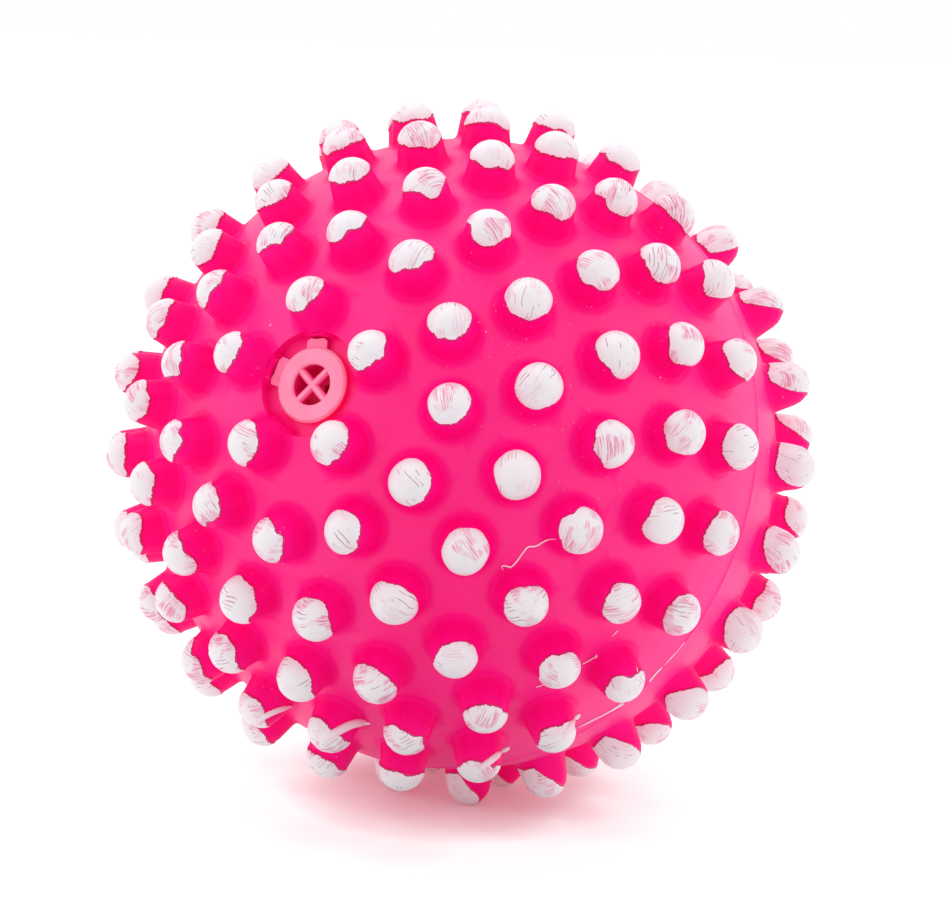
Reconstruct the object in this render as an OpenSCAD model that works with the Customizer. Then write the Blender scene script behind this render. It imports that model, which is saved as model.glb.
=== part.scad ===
// Sensory ball: a hollow ball of soft vinyl with rows of round-tipped nubs, white paint on the
// nubs' tips, and a reed squeaker pushed into a hole in the wall.
// Millimetres. The origin is the middle of the ball, +Z is up and -Y is the front.
// The rows of nubs lie round the squeaker's axis. The ball is set down on four of them.

/* [Ball] */
// Diameter of the ball without its nubs
body_diameter = 88; // [84:0.5:96]
// Thickness of the vinyl wall
wall = 2; // [1.8:0.1:2.4]
// Height of the parting line that the mould leaves
seam_height = 0.2; // [0.1:0.05:0.4]
// Width of the parting line
seam_width = 1; // [0.6:0.1:1.4]

/* [Nubs] */
// Height of a nub over the ball
nub_height = 6.2; // [5.4:0.1:6.8]
// Radius of a nub's round tip
tip_radius = 3.05; // [2.7:0.05:3.15]
// Slope of a nub's side
nub_taper = 13; // [10:0.5:14]
// Radius of the hollow curve round a nub's foot
foot_fillet = 1.5; // [1:0.1:1.6]

/* [Rows of nubs] */
// Angle from one row of nubs to the next, seen from the ball's middle
row_step = 12.65; // [12.55:0.05:12.75]
// Nubs in each row of the squeaker's half, from the squeaker to the seam
upper_counts = [5, 12, 16, 20, 23, 25]; // [4:1:26]
// Turn of each row of the squeaker's half about the squeaker's axis
upper_turns = [-1, 21, 1.2, -8, 1.4, -5.6]; // [-30:0.1:30]
// Nubs in each row of the other half, from its pole to the seam
lower_counts = [6, 11, 15, 19, 22, 24]; // [4:1:26]
// Turn of each row of the other half from the stand's meridian, in nub spacings
lower_turns = [0, 0.3, 0.1, 0.4, 0.5, 0.5]; // [0:0.1:1]

/* [Stand] */
// Meridian of the other half that the four standing nubs lie round
stand_meridian = 172.8; // [150:0.1:200]
// Compass direction that the squeaker faces, from +X
squeaker_heading = -117.94; // [-180:0.01:180]

/* [Paint] */
// Thickness of the paint on a tip
paint_thickness = 0.15; // [0.1:0.01:0.2]
// Gap between the paint and the vinyl under it
paint_gap = 0.02; // [0.01:0.01:0.04]
// Height over the ball that a level coat reaches down to
paint_edge = 3.6; // [3.2:0.1:4.2]
// Angle from the squeaker to the place that the leaning coats round it lead away from
brush_angle = 51.4; // [30:0.1:70]
// Turn about the squeaker's axis of that place
brush_turn = 227.7; // [0:0.1:360]
// Angle from the squeaker at which the coats of its half are level
upper_reach = 41; // [38:0.5:50]
// Lean of the coats next to the squeaker
upper_lean = 24; // [16:1:30]
// Height over the ball of the middle of their edge
upper_edge = 4.4; // [4.2:0.1:4.8]
// Angle from the other pole at which the coats of its half lean most
lower_reach = 45; // [30:1:70]
// Lean of such a coat
lower_lean = 38; // [24:1:40]
// Height over the ball of the middle of its edge
lower_edge = 4.2; // [4:0.1:4.6]

/* [Squeaker] */
// Diameter of the plug's flange
flange_diameter = 10; // [9.4:0.1:10.4]
// Thickness of the flange
flange_thickness = 1.2; // [1:0.1:1.3]
// Depth of the recess that the flange lies in, under the ball's surface
recess_depth = 1.6; // [1.4:0.1:1.8]
// Width of the groove left round the flange
recess_gap = 2; // [1.6:0.1:2.2]
// Height over the ball that the recess is cut to through the feet of the nearest nubs
recess_rise = 0.25; // [0.1:0.05:0.5]
// Width of the groove between the flange and the nearest nubs
nub_clear = 1.4; // [1.2:0.1:1.5]
// Diameter of the plug's neck in the hole
neck_diameter = 7.9; // [7.6:0.1:8.2]
// Gap round the neck and over the barb
neck_gap = 0.05; // [0.03:0.01:0.1]
// Thickness of the boss that the neck goes through
boss_thickness = 2; // [1.8:0.1:2.4]
// Diameter of the barb behind the boss
barb_diameter = 9.8; // [9.2:0.1:10]
// Length of the barb
barb_length = 1.6; // [1.2:0.1:2]
// Wall of the barrel round its bore
barrel_wall = 0.75; // [0.6:0.05:0.8]
// Diameter of the mouth that the cross spans
mouth_diameter = 5.4; // [5:0.1:5.6]
// Depth of the mouth from the flange's face to the reed holder
mouth_depth = 3.6; // [3.2:0.1:4]
// Width of a spoke of the cross at its foot
spoke_width = 1.1; // [0.8:0.05:1.3]
// Height of the spokes
spoke_height = 1; // [0.8:0.05:1.1]
// Turn of the cross
spoke_turn = 45; // [0:1:90]

/* [Reed] */
// Diameter of the bore that holds the reed
bore_diameter = 6.1; // [5.9:0.05:6.3]
// Gap of the reed holder in the bore
holder_gap = 0.05; // [0.03:0.01:0.08]
// Thickness of the holder's end disc
holder_disc = 1.4; // [1.2:0.1:1.6]
// Length of the seat that the reed's root lies on
seat_length = 1.6; // [1.4:0.1:1.8]
// Length of the trough past the seat
trough_length = 4; // [3.6:0.1:4.4]
// Radius of the trough
trough_radius = 2.3; // [2.1:0.05:2.4]
// Width of the air channel
channel_width = 1.4; // [1.2:0.05:1.5]
// Depth of the air channel
channel_depth = 1.2; // [1:0.05:1.3]
// Slope of the trough's face away from the reed
face_slope = 5; // [4.8:0.1:6]
// Thickness of the reed
reed_thickness = 0.2; // [0.15:0.01:0.25]
// Width of the reed
reed_width = 2.2; // [2:0.05:2.4]
// Gap on each side of the reed's root
root_gap = 0.12; // [0.11:0.01:0.14]

/* [Hidden] */
$fn = 64;
vinyl_pink = [1, 0.1, 0.42];
paint_white = [0.93, 0.92, 0.92];
plug_pink = [1, 0.52, 0.66];
holder_red = [0.8, 0.1, 0.3];
reed_clear = [0.85, 0.86, 0.9];

ball_radius = body_diameter / 2;
rows = len(upper_counts);

// A nub stands at the origin with its foot's middle on the ball's surface and +Z outwards.
tip_middle = nub_height - tip_radius;
kink = 0.02;
side_foot = tip_radius / cos(nub_taper) + tip_middle * tan(nub_taper) - kink;
side_top = tip_middle + tip_radius * sin(nub_taper);
root_depth = 0.6 * wall;
near_root = wall - 0.25;
fillet_low = 0.23 + 0.1 * foot_fillet;
fillet_z = foot_fillet - fillet_low;
fillet_touch = fillet_z - foot_fillet * sin(nub_taper);
fillet_r = side_foot - fillet_touch * tan(nub_taper) + foot_fillet * cos(nub_taper) - 1.5 * kink;
foot_sweep = 23;
foot_radius = fillet_r - foot_fillet * sin(foot_sweep) + 0.12;

// Every nub's angle from the squeaker and its turn about the squeaker's axis.
nub_places = concat(
    [for (k = [0 : rows - 1]) for (i = [0 : upper_counts[k] - 1])
        [(k + 1) * row_step, upper_turns[k] + i * 360 / upper_counts[k]]],
    [for (k = [0 : rows - 1]) for (i = [0 : lower_counts[k] - 1])
        [180 - (k + 1) * row_step, stand_meridian + (i + lower_turns[k]) * 360 / lower_counts[k]]],
    [[180, 0]]
);

// The stand: two nubs of the row under the seam and two of the next row lie in one plane.
stand_a = 180 - rows * row_step;
stand_b = 180 - (rows - 1) * row_step;
stand_ax = sin(stand_a) * cos(180 / lower_counts[rows - 1]);
stand_bx = sin(stand_b) * cos(180 / lower_counts[rows - 2]);
stand_angle = atan2(cos(stand_a) - cos(stand_b), stand_bx - stand_ax);
squeaker_lean = 180 - stand_angle;

// What the leaning coats of each half lead away from, in the ball's own frame with the squeaker along +Z.
upper_brush = [
    sin(brush_angle) * cos(brush_turn),
    sin(brush_angle) * sin(brush_turn),
    cos(brush_angle)
];
lower_brush = [0, 0, -1];
coat_low = 1.2;

// Heights along the squeaker's axis from the ball's middle.
recess_floor = ball_radius - recess_depth;
boss_face = recess_floor - boss_thickness;
flange_top = recess_floor + flange_thickness;
shoulder = flange_top - mouth_depth;
flange_radius = flange_diameter / 2;
recess_radius = flange_radius + recess_gap;
boss_radius = recess_radius + wall;
neck_radius = neck_diameter / 2;
mouth_radius = mouth_diameter / 2;
bore_radius = bore_diameter / 2;
holder_radius = bore_radius - holder_gap;
disc_low = shoulder - holder_disc;
seat_low = disc_low - seat_length;
trough_low = seat_low - trough_length;
barrel_low = trough_low - 0.4;
rim_bevel = 0.3;
lip_bevel = 0.2;

// The reed's root lies in the slot between the holder's seat at y = 0 and the wedge.
slot = reed_thickness + 2 * root_gap;
reed_low = trough_low + 0.3;
reed_high = disc_low - root_gap;

// Sets the ball down: the squeaker leans and turns to its heading, the four nubs are level.
module set_down() {
    rotate([0, 0, squeaker_heading])
        rotate([0, squeaker_lean, 0])
            rotate([0, 0, -stand_meridian])
                children();
}

// Puts a child on the ball at an angle from the squeaker and a turn about its axis.
module on_ball(angle, turn) {
    rotate([0, 0, turn])
        rotate([0, angle, 0])
            translate([0, 0, ball_radius])
                children();
}

// Half outline of a nub's sloping side from a low height up, moved outwards by grow.
module side_outline(grow, low) {
    wide = grow / cos(nub_taper);
    polygon([
        [0, low],
        [side_foot - low * tan(nub_taper) + wide, low],
        [side_foot - side_top * tan(nub_taper) + wide, side_top],
        [0, side_top]
    ]);
}

// Half outline of a nub's tip and side, grown outwards all round.
module tip_outline(grow, low) {
    intersection() {
        union() {
            translate([0, tip_middle])
                circle(r = tip_radius + grow);
            side_outline(grow, low);
        }
        translate([0, low])
            square([2 * tip_radius, nub_height + 2 * wall]);
    }
}

// Half outline of a nub's foot with the hollow curve round it, rooted in the wall.
module foot_outline() {
    difference() {
        translate([0, -root_depth])
            square([foot_radius, root_depth + fillet_z]);
        translate([fillet_r, fillet_z])
            circle(r = foot_fillet);
    }
}

// One nub: tip, side and foot.
module nub() {
    rotate_extrude()
        intersection() {
            union() {
                translate([0, tip_middle])
                    circle(r = tip_radius);
                side_outline(0, 0);
                foot_outline();
            }
            translate([0, -2 * wall])
                square([2 * foot_radius, nub_height + 3 * wall]);
        }
}

// A nub next to the squeaker. Its side runs straight down to the recess's floor, and the groove
// round the flange is cut into it.
module near_nub(angle, turn) {
    difference() {
        union() {
            on_ball(angle, turn)
                rotate_extrude()
                    tip_outline(0, -near_root);
            difference() {
                on_ball(angle, turn)
                    rotate_extrude()
                        foot_outline();
                recess();
            }
        }
        translate([0, 0, recess_floor])
            cylinder(r = flange_radius + nub_clear, h = nub_height);
    }
}

// The coat of one tip. Near the squeaker and in the other half it is lower on the side that
// the brush left last.
module coat(angle, turn) {
    upper = angle < 90;
    brush = upper ? upper_brush : lower_brush;
    // The brush as the nub sees it.
    about = brush[0] * cos(turn) + brush[1] * sin(turn);
    px = about * cos(angle) - brush[2] * sin(angle);
    py = brush[1] * cos(turn) - brush[0] * sin(turn);
    share = upper
        ? max(0, min(1, (upper_reach - angle) / row_step))
        : min(1, (180 - angle) / lower_reach);
    lean = share * (upper ? upper_lean : lower_lean);
    edge = paint_edge + share * ((upper ? upper_edge : lower_edge) - paint_edge);
    intersection() {
        rotate_extrude()
            difference() {
                tip_outline(paint_gap + paint_thickness, coat_low);
                tip_outline(paint_gap, coat_low - 1);
            }
        rotate([0, 0, atan2(-py, -px)])
            translate([0, 0, edge])
                rotate([0, lean, 0])
                    translate([-12, -12, 0])
                        cube([24, 24, 12]);
    }
}

// The hollow body with its seam, the boss for the squeaker, the recess and the hole.
module body() {
    difference() {
        union() {
            difference() {
                union() {
                    sphere(r = ball_radius);
                    seam();
                }
                sphere(r = ball_radius - wall);
            }
            translate([0, 0, boss_face])
                cylinder(r = boss_radius, h = ball_radius - wall + 0.3 - boss_face);
        }
        recess();
        translate([0, 0, boss_face - 1])
            cylinder(r = neck_radius + neck_gap, h = boss_thickness + 2);
    }
}

// The round hollow that the squeaker's flange lies in.
module recess() {
    translate([0, 0, recess_floor])
        cylinder(r = recess_radius, h = recess_depth + recess_rise);
}

// The body and every nub on it.
module ball_shell() {
    color(vinyl_pink)
    set_down()
    for (place = concat([[0, 0]], nub_places))
        if (place[0] == 0)
            body();
        else if (place[0] == row_step)
            near_nub(place[0], place[1]);
        else
            on_ball(place[0], place[1])
                nub();
}

// The raised line where the two halves of the mould met.
module seam() {
    rotate_extrude()
        polygon([
            [ball_radius - 0.6 * wall, -seam_width / 2],
            [ball_radius - 0.1, -seam_width / 2],
            [ball_radius + seam_height, -seam_width / 5],
            [ball_radius + seam_height, seam_width / 5],
            [ball_radius - 0.1, seam_width / 2],
            [ball_radius - 0.6 * wall, seam_width / 2]
        ]);
}

module paint_tips() {
    color(paint_white)
    set_down()
    for (place = nub_places)
        on_ball(place[0], place[1])
            coat(place[0], place[1]);
}

module squeaker_plug() {
    color(plug_pink)
    set_down() {
        rotate_extrude()
            polygon([
                [mouth_radius + lip_bevel, flange_top],
                [flange_radius - rim_bevel, flange_top],
                [flange_radius, flange_top - rim_bevel],
                [flange_radius, recess_floor],
                [neck_radius, recess_floor],
                [neck_radius, boss_face - neck_gap],
                [barb_diameter / 2, boss_face - neck_gap],
                [bore_radius + barrel_wall, boss_face - neck_gap - barb_length],
                [bore_radius + barrel_wall, barrel_low],
                [bore_radius, barrel_low],
                [bore_radius, shoulder],
                [mouth_radius, shoulder],
                [mouth_radius, flange_top - lip_bevel]
            ]);
        for (turn = [spoke_turn, spoke_turn + 90])
            rotate([0, 0, turn])
                spoke();
        gate_stub(-1, 2.9);
        gate_stub(70, 3.8);
    }
}

// One bar of the cross in the mouth, with a ridge along its top.
module spoke() {
    long = mouth_radius + 0.3;
    translate([-long, 0, flange_top - lip_bevel - spoke_height])
        rotate([90, 0, 90])
            linear_extrude(height = 2 * long)
                polygon([
                    [-spoke_width / 2, 0],
                    [spoke_width / 2, 0],
                    [spoke_width / 2, spoke_height * 0.6],
                    [spoke_width / 5, spoke_height],
                    [-spoke_width / 5, spoke_height],
                    [-spoke_width / 2, spoke_height * 0.6]
                ]);
}

// A stub left on the flange's rim where the moulding was broken off its gate.
module gate_stub(turn, wide) {
    reach = nub_clear - 0.25;
    rotate([0, 0, turn])
        translate([flange_radius, 0, recess_floor + flange_thickness * 0.3])
            linear_extrude(height = flange_thickness * 0.4)
                polygon([
                    [-0.6, -wide / 2],
                    [reach * 0.7, -wide / 2],
                    [reach, -wide / 3],
                    [reach * 0.9, wide / 8],
                    [reach, wide / 3],
                    [reach * 0.75, wide / 2],
                    [-0.6, wide / 2]
                ]);
}

// End disc, half-round seat and trough in one piece, with an air channel along them.
module reed_holder() {
    color(holder_red)
    set_down()
    difference() {
        union() {
            translate([0, 0, disc_low])
                cylinder(r = holder_radius, h = holder_disc);
            half_round(holder_radius, seat_low, disc_low + holder_disc / 2);
            half_round(trough_radius, trough_low, seat_low + seat_length / 2);
        }
        translate([-channel_width / 2, -channel_depth, trough_low + 0.7])
            cube([channel_width, channel_depth + 0.02, shoulder + 1 - trough_low]);
        // The trough's face slopes away from the reed past the seat.
        translate([0, 0, seat_low])
            rotate([-face_slope, 0, 0])
                translate([-bore_radius, 0, -2 * trough_length])
                    cube([bore_diameter, bore_radius, 2 * trough_length]);
    }
}

// Half of a round bar below y = 0, from one height to another.
module half_round(radius, low, high) {
    translate([0, 0, low])
        intersection() {
            cylinder(r = radius, h = high - low);
            translate([-radius - 1, -radius - 1, -1])
                cube([2 * radius + 2, radius + 1, high - low + 2]);
        }
}

// The block that holds the reed's root down on the seat.
module reed_wedge() {
    color(holder_red)
    set_down()
    translate([0, 0, seat_low])
        intersection() {
            cylinder(r = holder_radius, h = seat_length);
            translate([-bore_radius, slot, -1])
                cube([bore_diameter, bore_radius, seat_length + 2]);
        }
}

// The springy strip that beats on the trough's face and makes the sound.
module reed_tongue() {
    color(reed_clear)
    set_down()
    translate([-reed_width / 2, root_gap, reed_low])
        cube([reed_width, reed_thickness, reed_high - reed_low]);
}

ball_shell();
paint_tips();
squeaker_plug();
reed_holder();
reed_wedge();
reed_tongue();
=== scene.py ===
"""Looks of a soft vinyl sensory ball: the nubbed skin, the brushed paint, the squeaker and a studio.

Sizes are in millimetres and degrees. A mesh is worked out in the ball's own frame, whose +Z runs
along the squeaker, then turned to how the ball lies and put into metres.
"""

import logging
from dataclasses import dataclass, field
from enum import Enum

import bpy
import numpy as np
from mathutils import Matrix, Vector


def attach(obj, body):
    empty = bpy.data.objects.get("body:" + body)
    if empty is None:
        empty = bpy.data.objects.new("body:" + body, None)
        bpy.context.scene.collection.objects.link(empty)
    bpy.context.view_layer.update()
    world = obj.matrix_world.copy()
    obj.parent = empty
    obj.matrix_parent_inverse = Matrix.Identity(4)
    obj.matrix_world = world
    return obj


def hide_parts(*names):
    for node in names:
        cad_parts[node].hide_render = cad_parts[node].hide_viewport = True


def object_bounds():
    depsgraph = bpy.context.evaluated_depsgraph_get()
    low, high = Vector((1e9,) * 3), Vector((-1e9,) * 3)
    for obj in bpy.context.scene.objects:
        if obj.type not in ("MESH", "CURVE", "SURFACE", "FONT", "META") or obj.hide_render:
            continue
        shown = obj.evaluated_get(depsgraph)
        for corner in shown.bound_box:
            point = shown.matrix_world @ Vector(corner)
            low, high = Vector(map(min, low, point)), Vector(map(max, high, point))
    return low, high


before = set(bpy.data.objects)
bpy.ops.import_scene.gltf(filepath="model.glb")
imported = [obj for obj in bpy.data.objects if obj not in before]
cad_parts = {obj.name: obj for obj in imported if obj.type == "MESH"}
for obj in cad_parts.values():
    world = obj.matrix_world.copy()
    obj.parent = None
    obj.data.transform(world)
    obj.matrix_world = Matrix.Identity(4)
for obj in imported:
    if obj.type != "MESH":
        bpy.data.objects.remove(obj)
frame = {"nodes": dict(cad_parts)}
cad_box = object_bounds()

LOG = logging.getLogger("sensory_ball")
MM = 0.001
BODY = "ball"

Array = np.ndarray
Pair = tuple[Array, Array]
Limits = tuple[float, float]
Spot = tuple[float, float]
Place = tuple[float, float, float]
Colour = tuple[float, float, float, float]
Socket = bpy.types.NodeSocket
Material = bpy.types.Material
Mesh = bpy.types.Mesh
Piece = bpy.types.Object
WHITE: Colour = (1.0, 1.0, 1.0, 1.0)
BLACK: Colour = (0.0, 0.0, 0.0, 1.0)


class Half(Enum):
    """The half of the mould that a nub came from."""

    SQUEAKER = 1
    OTHER = -1


def unit(v: Array) -> Array:
    """Vectors of length one along the last axis."""
    return v / np.linalg.norm(v, axis=-1, keepdims=True)


def on_sphere(angle: Array | float, turn: Array | float) -> Array:
    """Directions at an angle from +Z and a turn about it.

    Args:
        angle: Degrees from +Z.
        turn: Degrees about +Z.

    Returns:
        Unit vectors, (sin a cos t, sin a sin t, cos a).
    """
    a, t = np.broadcast_arrays(np.radians(angle), np.radians(turn))
    return np.stack([np.sin(a) * np.cos(t), np.sin(a) * np.sin(t), np.cos(a)], axis=-1)


def turn_z(degrees: float) -> Array:
    """Matrix of a turn about Z."""
    c, s = np.cos(np.radians(degrees)), np.sin(np.radians(degrees))
    return np.array([[c, -s, 0.0], [s, c, 0.0], [0.0, 0.0, 1.0]])


def turn_y(degrees: float) -> Array:
    """Matrix of a turn about Y."""
    c, s = np.cos(np.radians(degrees)), np.sin(np.radians(degrees))
    return np.array([[c, 0.0, s], [0.0, 1.0, 0.0], [-s, 0.0, c]])


def once_round(sectors: int) -> Array:
    """Angles of equal steps once round, in radians."""
    return np.linspace(0.0, 2 * np.pi, sectors, endpoint=False)


def nearest_nub(points: Array, out: Array) -> Pair:
    """The nub nearest to each point.

    Args:
        points: Points near the ball.
        out: Directions of the nubs, in the same frame.

    Returns:
        That nub's direction and the point's distance from its axis.
    """
    nearest = out[np.argmax(points @ out.T, axis=-1)]
    return nearest, np.linalg.norm(np.cross(points, nearest), axis=-1)


@dataclass(frozen=True)
class NubRow:
    """One row of nubs at an angle from the squeaker."""

    angle: float
    count: int
    first_turn: float
    half: Half

    def turns(self) -> Array:
        """Turn of each nub of the row about the squeaker's axis."""
        return self.first_turn + np.arange(self.count) * 360.0 / self.count

    def upper(self) -> Array:
        """Whether each nub is on the squeaker's half."""
        return np.full(self.count, self.half is Half.SQUEAKER)


@dataclass(frozen=True)
class BallSizes:
    """Sizes of the vinyl ball: the rows and the tips are the CAD part's, the nubs' sides the photograph's."""

    radius: float = 44.6
    seam_height: float = 0.2
    seam_width: float = 1.0
    nub_height: float = 5.6
    tip_radius: float = 3.05
    taper: float = 9.0
    fillet: float = 0.8
    row_step: float = 12.65
    upper_counts: tuple[int, ...] = (5, 12, 16, 20, 23, 25)
    upper_turns: tuple[float, ...] = (-1.0, 21.0, 1.2, -8.0, 1.4, -5.6)
    lower_counts: tuple[int, ...] = (6, 11, 15, 19, 22, 24)
    lower_turns: tuple[float, ...] = (0.0, 0.3, 0.1, 0.4, 0.5, 0.5)
    stand_meridian: float = 172.8
    squeaker_heading: float = -117.94
    recess_radius: float = 7.0
    recess_floor: float = 42.4
    recess_top: float = 44.9
    plug_face: float = 43.8
    groove_radius: float = 6.4
    hole_radius: float = 4.0
    hole_floor: float = 31.0

    def rows(self) -> list[NubRow]:
        """Rows of nubs from the squeaker to the other pole, without the nub on that pole."""
        upper = [
            NubRow((k + 1) * self.row_step, n, t, Half.SQUEAKER)
            for k, (n, t) in enumerate(zip(self.upper_counts, self.upper_turns))
        ]
        lower = [
            NubRow(180.0 - (k + 1) * self.row_step, n, self.stand_meridian + t * 360.0 / n, Half.OTHER)
            for k, (n, t) in enumerate(zip(self.lower_counts, self.lower_turns))
        ]
        return upper + lower[::-1]

    def attitude(self) -> Array:
        """Turn from the ball's own frame to how it lies, level on four nubs of the last two rows."""
        last = len(self.lower_counts)
        a, b = (np.radians(180.0 - k * self.row_step) for k in (last, last - 1))
        across_a = np.sin(a) * np.cos(np.pi / self.lower_counts[-1])
        across_b = np.sin(b) * np.cos(np.pi / self.lower_counts[-2])
        stand = np.degrees(np.arctan2(np.cos(a) - np.cos(b), across_b - across_a))
        return turn_z(self.squeaker_heading) @ turn_y(180.0 - stand) @ turn_z(-self.stand_meridian)


@dataclass(frozen=True)
class NubProfile:
    """Half outline of a nub: a round tip, a straight sloping side and a hollow foot."""

    sizes: BallSizes
    tip_slopes: tuple[float, ...] = (13.0, 26.0, 39.0, 52.0, 65.0)
    foot_steps: int = 5
    foot_rounds: int = 20
    ray_lead: float = 1.0
    ray_step: float = 0.1
    ray_halvings: int = 12
    nudge: float = 0.05

    @property
    def tip_middle(self) -> float:
        """Height of the round tip's middle over the ball."""
        return self.sizes.nub_height - self.sizes.tip_radius

    def foot(self, steps: int) -> Pair:
        """Arc that touches both the side and the ball.

        Its middle lies a fillet's radius f off the side's line and R + f from the ball's middle.

        Args:
            steps: Number of points.

        Returns:
            Distance from the axis and height of each point, from the side to the ball.
        """
        z = self.sizes
        slope = np.radians(z.taper)
        reach = z.tip_radius + self.tip_middle * np.sin(slope) + z.fillet
        high = z.fillet
        for _ in range(self.foot_rounds):
            across = (reach - high * np.sin(slope)) / np.cos(slope)
            high = np.sqrt((z.radius + z.fillet) ** 2 - across**2) - z.radius
        last = np.arcsin(across / (z.radius + z.fillet))
        a = np.linspace(np.pi / 2 - slope, last, steps)
        return across - z.fillet * np.sin(a), high - z.fillet * np.cos(a)

    def skin_rings(self) -> Pair:
        """Outline of the skin from just off the top to the ball's surface."""
        slopes = np.radians([*self.tip_slopes, 90.0 - self.sizes.taper])
        tip_r, tip_h, _ = self.along(slopes * self.sizes.tip_radius)
        foot_r, foot_h = self.foot(self.foot_steps)
        side_r, side_h = (tip_r[-1] + foot_r[0]) / 2, (tip_h[-1] + foot_h[0]) / 2
        return np.r_[tip_r, side_r, foot_r], np.r_[tip_h, side_h, foot_h]

    def depth(self, points: Array, out: Array) -> Array:
        """How far points lie under the skin, measured along the nearest nub's axis or the ball's radius.

        Args:
            points: Points near the ball.
            out: Directions of the nubs, in the same frame.

        Returns:
            One number a point, above zero inside the ball or a nub.
        """
        nearest, beside = nearest_nub(points, out)
        across, high = self.skin_rings()
        nub = self.sizes.radius + np.interp(beside, across, high) - (points * nearest).sum(-1)
        return np.where(beside < across[-1], nub, self.sizes.radius - np.linalg.norm(points, axis=-1))

    def first_hit(self, start: Array, ray: Array, out: Array) -> Pair:
        """Where rays first meet the skin: steps along each ray, then halves the last step.

        Args:
            start: The place that all rays leave from.
            ray: Unit directions.
            out: Directions of the nubs, in the same frame.

        Returns:
            The points and the skin's outward normals there, from differences of the depth.
        """
        away = np.linalg.norm(start)
        first = away - self.sizes.radius - self.sizes.nub_height - self.ray_lead
        t = np.arange(first, away, self.ray_step)
        walk = start + t[:, None, None] * ray
        far = t[np.argmax(self.depth(walk, out) > 0.0, axis=0)]
        near = far - self.ray_step
        for _ in range(self.ray_halvings):
            middle = (near + far) / 2
            inside = self.depth(start + middle[:, None] * ray, out) > 0.0
            far = np.where(inside, middle, far)
            near = np.where(inside, near, middle)
        hit = start + far[:, None] * ray
        shift = self.nudge * np.eye(3)
        slope = self.depth(hit[:, None] - shift, out) - self.depth(hit[:, None] + shift, out)
        return hit, unit(slope)

    def along(self, s: Array) -> tuple[Array, Array, Array]:
        """Points and outward slope at a distance along the outline from the top.

        Args:
            s: Distance along the outline, over the round tip and then down the side.

        Returns:
            Distance from the axis, height, and the outward normal's angle from the axis in radians.
        """
        z = self.sizes
        end = np.radians(90.0 - z.taper)
        a = np.minimum(s / z.tip_radius, end)
        down = np.maximum(s - end * z.tip_radius, 0.0)
        across = z.tip_radius * np.sin(a) + down * np.cos(end)
        high = self.tip_middle + z.tip_radius * np.cos(a) - down * np.sin(end)
        return across, high, a


@dataclass(frozen=True)
class NubField:
    """Places and local axes of nubs in the ball's own frame."""

    out: Array
    south: Array
    east: Array
    upper: Array

    @staticmethod
    def at(angle: Array | float, turn: Array, upper: Array) -> "NubField":
        """Nubs at angles and turns, with whether each is on the squeaker's half."""
        south = on_sphere(angle + 90.0, turn)
        east = on_sphere(90.0, turn + 90.0)
        return NubField(on_sphere(angle, turn), south, east, upper)

    @staticmethod
    def of(sizes: BallSizes) -> "NubField":
        """All nubs of a ball, the one on the pole last."""
        rows = sizes.rows()
        angle = np.concatenate([np.full(r.count, r.angle) for r in rows] + [[180.0]])
        turn = np.concatenate([r.turns() for r in rows] + [[0.0]])
        upper = np.concatenate([r.upper() for r in rows] + [[False]])
        return NubField.at(angle, turn, upper)

    @staticmethod
    def lying(sizes: BallSizes) -> Array:
        """Directions of all nubs as the ball lies."""
        return NubField.of(sizes).out @ sizes.attitude().T

    def points(self, high: Array, across: Array, turn: Array) -> Array:
        """Points of rings round every nub.

        Args:
            high: Distance from the ball's middle along a nub's axis, shape (..., rings, sectors or 1).
            across: Distance from the axis, in the same shape.
            turn: Turns round the axis from south to east, in radians.

        Returns:
            Points, shape (nubs, rings, sectors, 3).
        """
        flat = np.cos(turn)[:, None] * self.south[:, None] + np.sin(turn)[:, None] * self.east[:, None]
        return high[..., None] * self.out[:, None, None] + across[..., None] * flat[:, None]


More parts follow.
